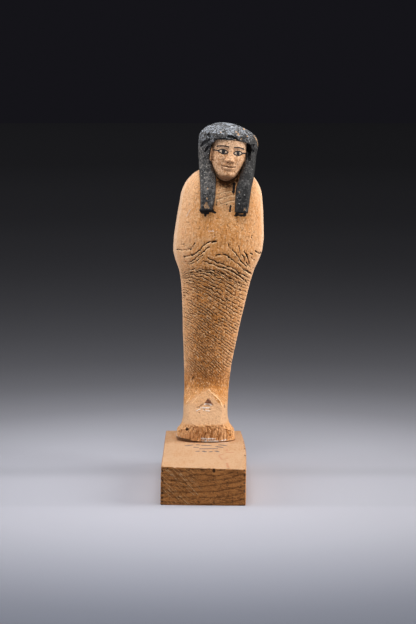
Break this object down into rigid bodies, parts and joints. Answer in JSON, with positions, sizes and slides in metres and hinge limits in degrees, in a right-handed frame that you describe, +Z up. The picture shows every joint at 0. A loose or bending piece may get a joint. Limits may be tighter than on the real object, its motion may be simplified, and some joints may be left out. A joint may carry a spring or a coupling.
{
  "type": "osirid figure on plinth",
  "caption": "Carved wooden mummiform figure with a dark painted wig, standing at the back of a long plain rectangular wooden plinth.",
  "frame": {"origin": "centre of the plinth's underside, on the surface it stands on", "axes": "+Z up; the figure looks along -Y, towards the plinth's long free end; +X is the right-hand side as the viewer sees it"},
  "size_m": [0.0858, 0.1561, 0.2993],
  "materials": {
    "carved_wood": "bare dry carved wood with open grain, with worn matt black paint on the wig",
    "plinth_wood": "bare dry sawn wood, darker on the end grain at the front"
  },
  "bodies": {
    "root": {"figure": "carved_wood", "plinth": "plinth_wood"}
  },
  "joints": []
}
